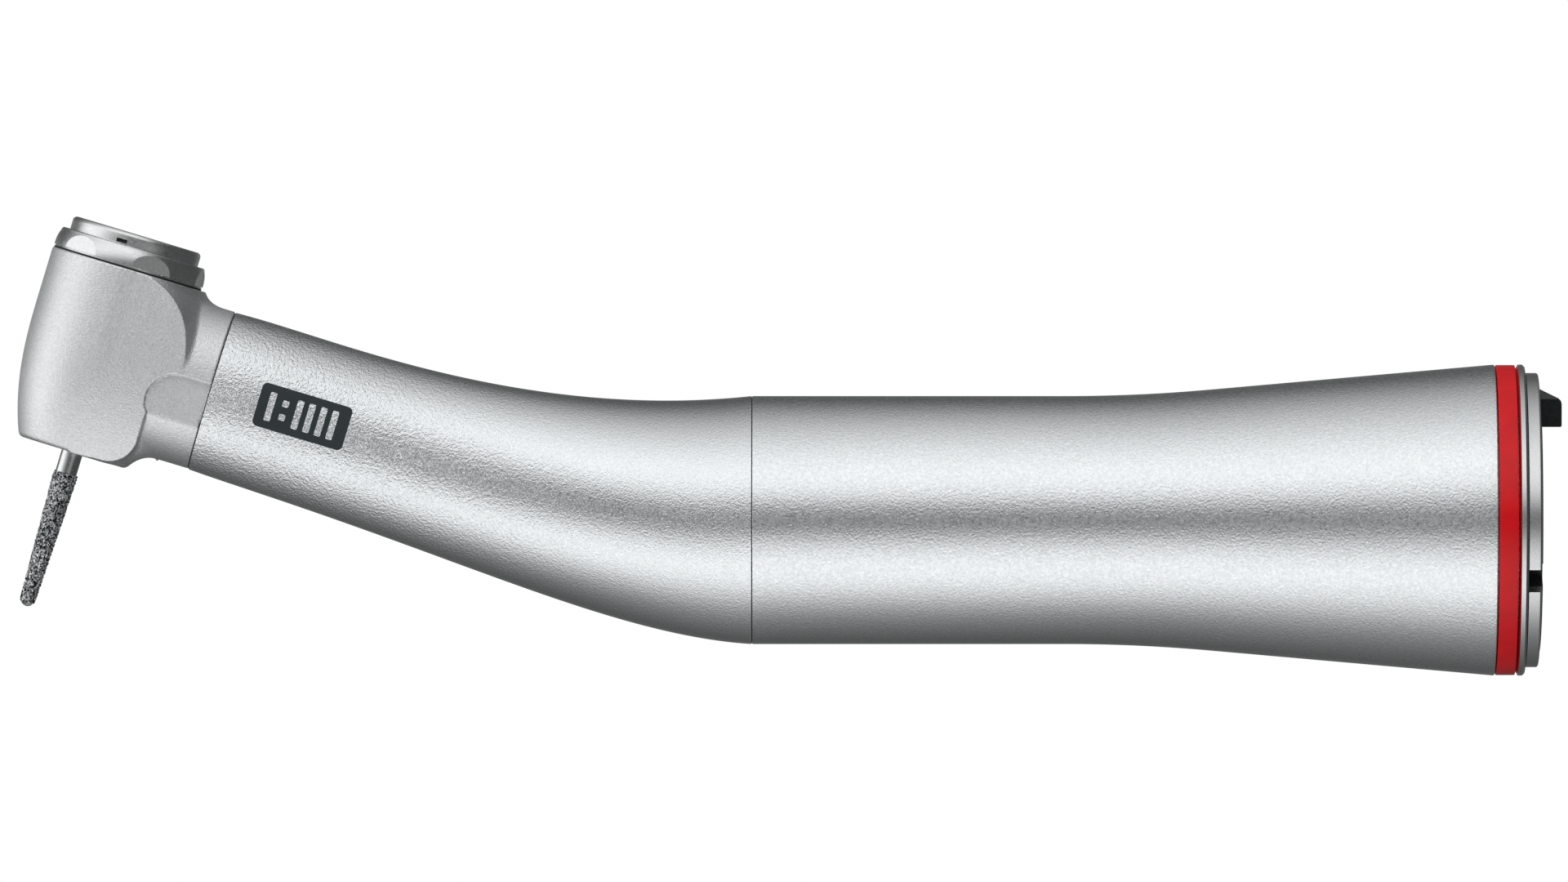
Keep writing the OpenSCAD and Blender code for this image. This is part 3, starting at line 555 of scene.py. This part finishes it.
def build_cap():
    """The head cap: a fine groove round its foot, six wrench flats and a rounded rim."""
    sides, rim, flats_from = 720, 0.15, CAP_FOOT + 0.13
    profile = [(CAP_INNER_R, CAP_FOOT), (4.9, CAP_FOOT), (4.93, CAP_FOOT + 0.03), (4.93, CAP_FOOT + 0.08)]
    profile += [(4.87, CAP_FOOT + 0.1), (4.87, CAP_FOOT + 0.12)]
    for share in np.linspace(0, 1, 44):
        h = flats_from + 0.01 + share * (CAP_TOP - rim - flats_from - 0.01)
        profile.append((CAP_R - (CAP_R - CAP_RIM_R) * share**2.2, h))
    profile += arc(CAP_RIM_R - rim, CAP_TOP - rim, rim, 10, 90, 8)
    profile += [(CAP_INNER_R + 0.03, CAP_TOP), (CAP_INNER_R, CAP_TOP - 0.03), (CAP_INNER_R, CAP_FLOOR)]
    profile += [(1.15, CAP_FLOOR), (1.15, 12.35), (3.2, 12.35), (3.2, 10.02), (CAP_INNER_R, 10.02)]
    r, h = np.array(profile).T[:, :, None]
    angles = np.linspace(0, 2 * math.pi, sides, endpoint=False)
    sixth = math.pi / 3
    from_flat = (angles - math.radians(FIRST_FLAT) + sixth / 2) % sixth - sixth / 2
    r = np.where(h > flats_from, np.minimum(r, CAP_FLAT / np.cos(from_flat)), r)
    points = about_head(r * np.cos(angles), r * np.sin(angles), np.repeat(h, sides, 1))
    faces = ring_faces(len(profile), sides, True)[:, ::-1]
    mesh_piece("cap_shell", points, faces, "housing", "cap_metal", ["head_cap"])


def build_button():
    """The push button: a rounded top edge, and a small blind slot in its side."""
    sides, step = 720, 0.01
    low, high = SLOT_W
    profile = [(PLUNGER_R, PLUNGER_TOP), (PLUNGER_R, CAP_TOP), (BUTTON_INNER_R, CAP_TOP)]
    profile += [(BUTTON_INNER_R, SKIRT_BOTTOM), (BUTTON_R - 0.03, SKIRT_BOTTOM)]
    profile += [(BUTTON_R, w) for w in (SKIRT_BOTTOM + 0.03, low, low + step, high - step, high)]
    profile += arc(BUTTON_R - BUTTON_EDGE, BUTTON_TOP - BUTTON_EDGE, BUTTON_EDGE, 0, 90, 12)
    profile += [(2.0, BUTTON_TOP)]
    r, h = np.array(profile).T[:, :, None]
    angles = np.linspace(0, 2 * math.pi, sides, endpoint=False)
    u = r * np.cos(angles)
    in_slot = (h > low) & (h < high) & (np.sin(angles) < 0) & (u > SLOT_U[0]) & (u < SLOT_U[1])
    r = r - SLOT_DEPTH * (in_slot & (r > BUTTON_INNER_R))
    points = about_head(r * np.cos(angles), r * np.sin(angles), np.repeat(h, sides, 1))
    faces = capped(ring_faces(len(profile), sides, False)[:, ::-1], len(profile), sides)
    mesh_piece("button_shell", points, faces, "push_button", "cap_metal", ["button_cap"])


def build_slot_shade():
    """A dark sheet of painted shade on the floor of the button's slot, as long as the slot and curved with the
    button.
    """
    (low, high), deep, half_thick, gap = SLOT_W, BUTTON_R - SLOT_DEPTH, 0.03, 0.01
    front, back, low, high = deep + half_thick, deep - half_thick, low + gap, high - gap
    section = [(front, low), (front, high), (back, high), (back, low)]
    across = np.linspace(SLOT_U[0] + 0.04, SLOT_U[1] - 0.04, 10)
    points = head_points([(a, -math.sqrt(r * r - a * a), w) for a in across for r, w in section])
    faces = capped(ring_faces(len(across), 4, False)[:, ::-1], len(across), 4)
    # A black sheet in the slot: painted shade where the real slot only lies in shadow
    mesh_piece("button_slot_shade", points, faces, "push_button", "black_rubber")


# ---- Push button spring ----


def build_spring():
    """Conical coil under the button."""
    turns, wire, sides, steps = 2, 0.12, 14, 160
    (top_r, top_w), (foot_r, foot_w) = (1.7, 13.6), (3.3, 12.84)
    k = np.linspace(0, 1, steps)
    turn = 2 * math.pi * turns * k
    radius, height = top_r + (foot_r - top_r) * k, top_w + (foot_w - top_w) * k
    around = np.linspace(0, 2 * math.pi, sides, endpoint=False)
    r = radius[:, None] + wire * np.cos(around)
    w = height[:, None] + wire * np.sin(around)
    local = np.stack([r * np.cos(turn)[:, None], r * np.sin(turn)[:, None], w], -1).reshape(-1, 3)
    faces = [face[::-1] for face in capped(ring_faces(steps, sides, False)[:, ::-1], steps, sides)]
    piece = mesh_piece("return_spring", head_points(local), faces, "housing", "spring_steel",
                       ["button_spring"], sharp=180)
    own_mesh(piece)


# ---- Materials ----


class Surface:
    """A node material for one kind of surface. Texture scales are given as feature sizes in millimetres."""

    def __init__(self, name):
        self.material = bpy.data.materials.new(name)
        self.material.use_nodes = True
        self.nodes = self.material.node_tree.nodes
        self.links = self.material.node_tree.links
        self.shader = self.nodes["Principled BSDF"]
        self.place = self.nodes.new("ShaderNodeTexCoord").outputs["Object"]
        self.normal = None

    def noise(self, size, detail=2, stretch=None):
        node = self.nodes.new("ShaderNodeTexNoise")
        node.inputs["Scale"].default_value = 1 / (size * MM)
        node.inputs["Detail"].default_value = detail
        source = self.place
        if stretch:
            mapping = self.nodes.new("ShaderNodeMapping")
            mapping.inputs["Scale"].default_value = stretch
            self.links.new(source, mapping.inputs["Vector"])
            source = mapping.outputs["Vector"]
        self.links.new(source, node.inputs["Vector"])
        return node.outputs["Fac"]

    def cells(self, size, output="Distance"):
        node = self.nodes.new("ShaderNodeTexVoronoi")
        node.inputs["Scale"].default_value = 1 / (size * MM)
        self.links.new(self.place, node.inputs["Vector"])
        return node.outputs[output]

    def spread(self, value, low, high, to_low=0.0, to_high=1.0):
        """Stretches low to high over to_low to to_high, and cuts off what is outside."""
        node = self.nodes.new("ShaderNodeMapRange")
        self.links.new(value, node.inputs["Value"])
        for key, number in zip(("From Min", "From Max", "To Min", "To Max"), (low, high, to_low, to_high)):
            node.inputs[key].default_value = number
        return node.outputs["Result"]

    def axis(self, name):
        split = self.nodes.new("ShaderNodeSeparateXYZ")
        self.links.new(self.place, split.inputs[0])
        return split.outputs[name]

    def times(self, a, b):
        node = self.nodes.new("ShaderNodeMath")
        node.operation = "MULTIPLY"
        self.links.new(a, node.inputs[0])
        self.links.new(b, node.inputs[1])
        return node.outputs[0]

    def mix(self, factor, a, b):
        node = self.nodes.new("ShaderNodeMix")
        node.data_type = "RGBA"
        self.links.new(factor, node.inputs["Factor"])
        for key, value in (("A", a), ("B", b)):
            socket = [s for s in node.inputs if s.name == key and s.type == "RGBA"][0]
            if isinstance(value, (tuple, list)):
                socket.default_value = (*value, 1)
            else:
                self.links.new(value, socket)
        return [s for s in node.outputs if s.type == "RGBA"][0]

    def edges(self, radius):
        """0 on flat ground, up to 1 on edges; it marks where the painted edge highlight goes."""
        bevel = self.nodes.new("ShaderNodeBevel")
        bevel.samples = 4
        bevel.inputs["Radius"].default_value = radius * MM
        geometry = self.nodes.new("ShaderNodeNewGeometry")
        dot = self.nodes.new("ShaderNodeVectorMath")
        dot.operation = "DOT_PRODUCT"
        self.links.new(bevel.outputs["Normal"], dot.inputs[0])
        self.links.new(geometry.outputs["Normal"], dot.inputs[1])
        return self.spread(dot.outputs["Value"], 1.0, 0.93)

    def bump(self, height, distance):
        """Adds relief this many millimetres deep, on top of any that is there already."""
        node = self.nodes.new("ShaderNodeBump")
        node.inputs["Strength"].default_value = 1.0
        node.inputs["Distance"].default_value = distance * MM
        self.links.new(height, node.inputs["Height"])
        if self.normal is not None:
            self.links.new(self.normal, node.inputs["Normal"])
        self.normal = node.outputs["Normal"]
        self.links.new(self.normal, self.shader.inputs["Normal"])

    def set(self, **values):
        for key, value in values.items():
            self.shader.inputs[key.replace("_", " ")].default_value = value

    def colour(self, output):
        self.links.new(output, self.shader.inputs["Base Color"])

    def roughness(self, output):
        self.links.new(output, self.shader.inputs["Roughness"])


def shaded(tone, factor):
    """A colour made brighter or darker."""
    return tuple(min(1, c * factor) for c in tone)


def metal(name, tone, rough, grain, depth, mottle=0.06, stretch=None, speck=0.05, pure=1.0, pebble=None):
    """Satin or turned metal: fine grain and flecks, soft mottling, and edges brightened as a painted highlight.

    grain and depth are the size and relief of the grain in millimetres, and mottle and speck are how far
    patches and flecks differ from the tone. pebble adds a coarser relief that fades along x: its size and
    depth, and where it is at full strength and at a quarter of it.
    """
    s = Surface(name)
    s.set(Metallic=pure)
    patches = s.spread(s.noise(2.6, 3), 0.3, 0.7)
    grains = s.spread(s.noise(grain * 0.6, 1), 0.35, 0.65)
    flecks = s.spread(s.noise(grain * 1.3, 1), 0.35, 0.65)
    base = s.mix(patches, shaded(tone, 1 - mottle), tone)
    base = s.mix(grains, base, s.mix(flecks, shaded(tone, 1 - speck), shaded(tone, 1 + speck)))
    # Painted highlight: a lighter tone mixed in on the edges
    s.colour(s.mix(s.edges(0.06), base, shaded(tone, 1.12)))
    s.roughness(s.spread(s.noise(grain * 1.7, stretch=stretch), 0.3, 0.7, rough - 0.05, rough + 0.05))
    s.bump(s.noise(grain, stretch=stretch), depth)
    if pebble:
        size, height, strong_x, weak_x = pebble
        fade = s.spread(s.axis("X"), strong_x * MM, weak_x * MM, 1, 0.25)
        s.bump(s.times(s.noise(size), fade), height)
    return s.material


def gloss(name, tone, rough, grain=0.5, depth=0.002, edge_highlight=0.3, shine=0.5):
    """Moulded plastic, rubber or lacquer, with a painted highlight on the edges."""
    s = Surface(name)
    s.set(Specular_IOR_Level=shine)
    patches = s.spread(s.noise(1.4, 3), 0.3, 0.7)
    base = s.mix(patches, shaded(tone, 0.9), shaded(tone, 1.08))
    # Painted highlight: edges lightened by this share
    light = tuple(min(1, c * (1 + edge_highlight) + 0.01) for c in tone)
    s.colour(s.mix(s.edges(0.05), base, light))
    s.roughness(s.spread(s.noise(0.3), 0.3, 0.7, rough - 0.04, rough + 0.04))
    s.bump(s.noise(grain), depth)
    return s.material


def grit(name):
    """Dark bonding metal with pale and black diamond grains."""
    s = Surface(name)
    s.set(Metallic=0.75)
    shade = s.spread(s.cells(0.11, "Color"), 0.3, 0.85)
    s.colour(s.mix(shade, (0.01, 0.012, 0.014), (0.93, 0.95, 0.97)))
    s.roughness(s.spread(s.noise(0.2, 1), 0.3, 0.7, 0.12, 0.4))
    s.bump(s.cells(0.07), 0.01)
    return s.material


def glass(name):
    """Clear optical glass with a faint tint."""
    s = Surface(name)
    s.set(Transmission_Weight=1.0, IOR=1.5)
    s.colour(s.mix(s.noise(1.0), (0.86, 0.93, 0.96), (0.92, 0.97, 1.0)))
    s.roughness(s.spread(s.noise(0.4), 0.3, 0.7, 0.02, 0.06))
    s.bump(s.noise(0.5), 0.0005)
    return s.material


STEEL = (0.825, 0.85, 0.862)
MATERIALS = {
    "satin_metal": metal("satin_metal", (0.89, 0.915, 0.928), 0.45, 0.1, 0.035, mottle=0.02, speck=0.14,
                         pure=0.88),
    "cap_metal": metal("cap_metal", (0.76, 0.775, 0.78), 0.3, 0.1, 0.004, mottle=0.02),
    "neck_metal": metal("neck_metal", STEEL, 0.25, 0.1, 0.02, mottle=0.02, speck=0.1,
                        pebble=(0.2, 0.06, -80, -60)),
    "handle_metal": metal("handle_metal", STEEL, 0.28, 0.14, 0.026, mottle=0.02, speck=0.12),
    "ring_metal": metal("ring_metal", (0.72, 0.73, 0.74), 0.3, 0.1, 0.004, stretch=(5, 1, 1)),
    "red_ring": gloss("red_ring", (0.95, 0.006, 0.012), 0.3, grain=0.15, depth=0.001, edge_highlight=0.05, shine=0.3),
    "black_plastic": gloss("black_plastic", (0.014, 0.016, 0.018), 0.25),
    # Besides the CAD parts of this slot, black_rubber colours the seam rings and the slot's floor sheet, which are
    # painted shade
    "black_rubber": gloss("black_rubber", (0.012, 0.012, 0.013), 0.6, grain=0.12, depth=0.003),
    "bearing_steel": metal("bearing_steel", (0.75, 0.76, 0.77), 0.18, 0.1, 0.0008),
    "ball_ceramic": gloss("ball_ceramic", (0.1, 0.1, 0.11), 0.12, depth=0.0005),
    "tube_steel": metal("tube_steel", (0.66, 0.67, 0.68), 0.32, 0.1, 0.0015, stretch=(1, 6, 6)),
    "glass_rod": glass("glass_rod"),
    "spring_steel": metal("spring_steel", (0.5, 0.51, 0.52), 0.25, 0.08, 0.001),
    "shaft_steel": metal("shaft_steel", (0.68, 0.69, 0.7), 0.26, 0.08, 0.001),
    "gear_steel": metal("gear_steel", (0.6, 0.61, 0.63), 0.28, 0.08, 0.0015),
    "bur_steel": metal("bur_steel", (0.78, 0.79, 0.8), 0.22, 0.08, 0.001),
    "diamond_grit": grit("diamond_grit"),
    "plate_slate": gloss("plate_slate", (0.042, 0.054, 0.058), 0.55, grain=0.1, depth=0.006, shine=0.25),
}


def paint_pieces():
    """Gives every piece the material of its slot, and smooth shading to the CAD nodes."""
    slots = {p["node"]: p["material_slot"] for p in frame["record"]["subparts"]}
    for name, node in frame["nodes"].items():
        paint(node, MATERIALS[slots[name]])
        node.data.set_sharp_from_angle(angle=math.radians(30))
    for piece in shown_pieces():
        if "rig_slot" in piece:
            paint(piece, MATERIALS[piece["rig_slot"]])
    paint(bpy.data.objects["ratio_plate"], MATERIALS["plate_slate"])


def paint(piece, material):
    piece.data.materials.clear()
    piece.data.materials.append(material)


# ---- Camera, light and floor ----

# Brightness of the studio by the direction's angle above the camera's, in degrees, seen along the handle
LIGHT_BANDS = [(-180, 0.3), (-158, 0.08), (-128, 0.13), (-100, 0.26), (-84, 0.5), (-66, 0.98), (-50, 1.25),
               (-34, 1.14), (-18, 0.76), (-9, 0.3), (-2, 0.06), (5, 0.06), (14, 0.58), (26, 1.08), (44, 1.16),
               (62, 0.98), (84, 0.72), (104, 0.5), (124, 0.26), (142, 0.09), (160, 0.07), (180, 0.3)]
LEFT_LIGHT, RIGHT_SHADE = 1.3, 0.07
# Direction components between which the left light, the right shade and the dark behind set in
LEFT_FROM_TO, RIGHT_FROM_TO, BEHIND_FROM_TO = (0.8, 0.97), (0.32, 0.75), (0.25, 0.7)


def build_world():
    """Bands of light along the handle, and a light at the head's end; the camera sees plain white."""
    world = bpy.data.worlds.new("studio")
    bpy.context.scene.world = world
    world.use_nodes = True
    nodes, links = world.node_tree.nodes, world.node_tree.links
    nodes.clear()

    def maths(operation, a, b=None):
        node = nodes.new("ShaderNodeMath")
        node.operation = operation
        for socket, value in zip(node.inputs, (a, b)):
            if value is None:
                continue
            if isinstance(value, (int, float)):
                socket.default_value = value
            else:
                links.new(value, socket)
        return node.outputs[0]

    direction = nodes.new("ShaderNodeTexCoord").outputs["Generated"]
    split = nodes.new("ShaderNodeSeparateXYZ")
    links.new(direction, split.inputs[0])
    turn = maths("ARCTAN2", split.outputs["Z"], maths("MULTIPLY", split.outputs["Y"], -1.0))
    ramp = nodes.new("ShaderNodeValToRGB")
    links.new(maths("ADD", maths("MULTIPLY", turn, 0.5 / math.pi), 0.5), ramp.inputs[0])
    stops = ramp.color_ramp.elements
    while len(stops) < len(LIGHT_BANDS):
        stops.new(0.5)
    for stop, (angle, value) in zip(stops, LIGHT_BANDS):
        stop.position = angle / 360 + 0.5
        stop.color = (value, value, value, 1)

    def ease(value, start, stop):
        reach = nodes.new("ShaderNodeMapRange")
        reach.interpolation_type = "SMOOTHSTEP"
        links.new(value, reach.inputs["Value"])
        reach.inputs["From Min"].default_value = start
        reach.inputs["From Max"].default_value = stop
        return reach.outputs["Result"]

    def towards(previous, factor, value):
        mix = nodes.new("ShaderNodeMixRGB")
        links.new(factor, mix.inputs["Fac"])
        links.new(previous, mix.inputs["Color1"])
        mix.inputs["Color2"].default_value = (value, value, value, 1)
        return mix.outputs[0]

    leftward = ease(maths("MULTIPLY", split.outputs["X"], -1.0), *LEFT_FROM_TO)
    behind = ease(split.outputs["Y"], *BEHIND_FROM_TO)
    colour = towards(ramp.outputs["Color"], ease(split.outputs["X"], *RIGHT_FROM_TO), RIGHT_SHADE)
    colour = towards(colour, leftward, LEFT_LIGHT)
    colour = towards(colour, maths("MULTIPLY", leftward, behind), RIGHT_SHADE)
    lights, white = nodes.new("ShaderNodeBackground"), nodes.new("ShaderNodeBackground")
    links.new(colour, lights.inputs["Color"])
    white.inputs["Color"].default_value = (1, 1, 1, 1)
    mix = nodes.new("ShaderNodeMixShader")
    links.new(nodes.new("ShaderNodeLightPath").outputs["Is Camera Ray"], mix.inputs["Fac"])
    links.new(lights.outputs[0], mix.inputs[1])
    links.new(white.outputs[0], mix.inputs[2])
    links.new(mix.outputs[0], nodes.new("ShaderNodeOutputWorld").inputs["Surface"])


def build_floor():
    """Pale floor well below the object, hidden from reflections and clear from underneath."""
    mesh = bpy.data.meshes.new("floor")
    half, depth = 1.4, -0.1
    mesh.from_pydata([(-half, -half, depth), (half, -half, depth), (half, half, depth), (-half, half, depth)],
                     [], [(0, 1, 2, 3)])
    floor = bpy.data.objects.new("floor", mesh)
    bpy.context.scene.collection.objects.link(floor)
    material = bpy.data.materials.new("floor")
    material.use_nodes = True
    nodes, links = material.node_tree.nodes, material.node_tree.links
    shader = nodes["Principled BSDF"]
    shader.inputs["Base Color"].default_value = (0.9, 0.9, 0.9, 1)
    shader.inputs["Roughness"].default_value = 0.9
    shader.inputs["Emission Color"].default_value = (1, 1, 1, 1)
    shader.inputs["Emission Strength"].default_value = 0.45
    mix = nodes.new("ShaderNodeMixShader")
    links.new(nodes.new("ShaderNodeNewGeometry").outputs["Backfacing"], mix.inputs["Fac"])
    links.new(shader.outputs[0], mix.inputs[1])
    links.new(nodes.new("ShaderNodeBsdfTransparent").outputs[0], mix.inputs[2])
    links.new(mix.outputs[0], nodes["Material Output"].inputs["Surface"])
    floor.data.materials.append(material)
    floor.visible_glossy = False
    floor.visible_diffuse = False
    floor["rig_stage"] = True


def build_camera():
    """Level camera square to the handle, far enough away for almost no perspective."""
    data = bpy.data.cameras.new("camera")
    data.lens = 534
    data.sensor_width = 36
    data.clip_start, data.clip_end = 0.1, 20
    camera = bpy.data.objects.new("camera", data)
    camera.location = (-0.0486, -1.5, 0.0051)
    camera.rotation_euler = (math.radians(90), 0, 0)
    bpy.context.scene.collection.objects.link(camera)
    bpy.context.scene.camera = camera


build_camera()
build_world()
build_floor()
bpy.context.scene.view_settings.view_transform = "Standard"

build_head()
build_front_sheath()
build_plate()
build_rear_sheath()
build_colour_ring()
build_diamond()
build_cap()
build_button()
build_slot_shade()
build_spring()
paint_pieces()
